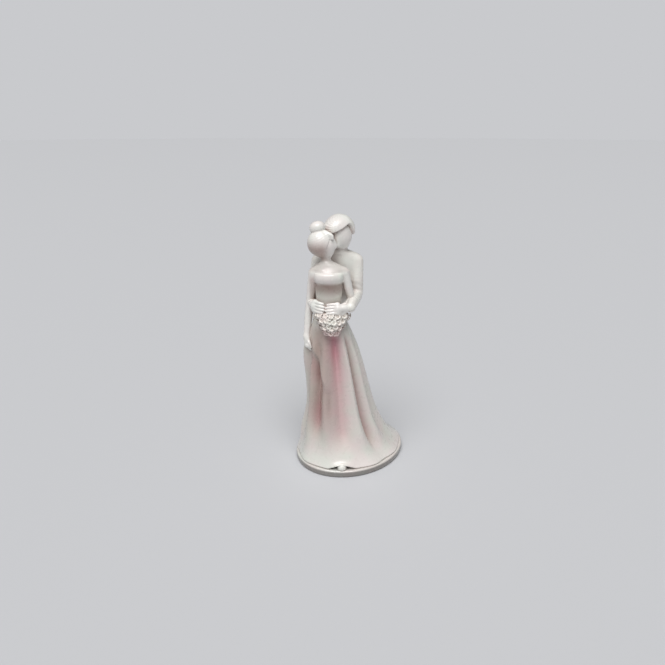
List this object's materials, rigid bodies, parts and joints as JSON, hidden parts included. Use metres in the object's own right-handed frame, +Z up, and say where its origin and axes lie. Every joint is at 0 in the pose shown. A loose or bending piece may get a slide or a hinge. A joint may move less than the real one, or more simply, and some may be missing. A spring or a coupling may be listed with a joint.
{
  "type": "wedding cake topper",
  "caption": "Porcelain wedding cake topper: an embracing bride and groom on an oval plinth, her long folded gown spreading to a train, a posy of blossoms under their joined hands.",
  "frame": {"origin": "centre of the plinth's footprint, on the surface it stands on", "axes": "+Z up, the couple facing -Y, her train to +X"},
  "size_m": [0.0746, 0.0732, 0.1641],
  "materials": {
    "plinth_lustre": "glazed white porcelain with a grey mother-of-pearl lustre",
    "gown_pearl": "glazed white porcelain, mother-of-pearl lustre, rose blush in the folds",
    "skin_pearl": "glazed white porcelain, mother-of-pearl lustre",
    "hair_pearl": "glazed white porcelain, mother-of-pearl lustre",
    "suit_pearl": "glazed white porcelain, mother-of-pearl lustre",
    "posy_pearl": "glazed white porcelain, mother-of-pearl lustre, hand-formed petals"
  },
  "bodies": {
    "root": {"plinth": "plinth_lustre", "skirt": "gown_pearl", "bodice": "gown_pearl", "bride_shoulders": "skin_pearl", "bride_head": "skin_pearl", "bride_hair": "hair_pearl", "bride_bun": "hair_pearl", "bride_right_arm": "skin_pearl", "bride_left_arm": "skin_pearl", "bride_right_hand": "skin_pearl", "bride_left_hand": "skin_pearl", "bride_shoe": "suit_pearl", "groom_jacket": "suit_pearl", "groom_collar": "suit_pearl", "groom_head": "skin_pearl", "groom_hair": "hair_pearl", "groom_left_sleeve": "suit_pearl", "groom_right_sleeve": "suit_pearl", "groom_left_hand": "skin_pearl", "groom_right_hand": "skin_pearl", "groom_trousers": "suit_pearl", "groom_right_shoe": "suit_pearl", "groom_left_shoe": "suit_pearl", "posy_cushion": "posy_pearl", "blossom_01": "posy_pearl", "blossom_02": "posy_pearl", "blossom_03": "posy_pearl", "blossom_04": "posy_pearl", "blossom_05": "posy_pearl", "blossom_06": "posy_pearl", "blossom_07": "posy_pearl", "blossom_08": "posy_pearl", "blossom_09": "posy_pearl", "blossom_10": "posy_pearl", "blossom_11": "posy_pearl", "blossom_12": "posy_pearl", "blossom_13": "posy_pearl", "blossom_14": "posy_pearl", "blossom_15": "posy_pearl", "blossom_16": "posy_pearl", "blossom_17": "posy_pearl", "blossom_18": "posy_pearl", "blossom_19": "posy_pearl", "blossom_20": "posy_pearl"}
  },
  "joints": []
}
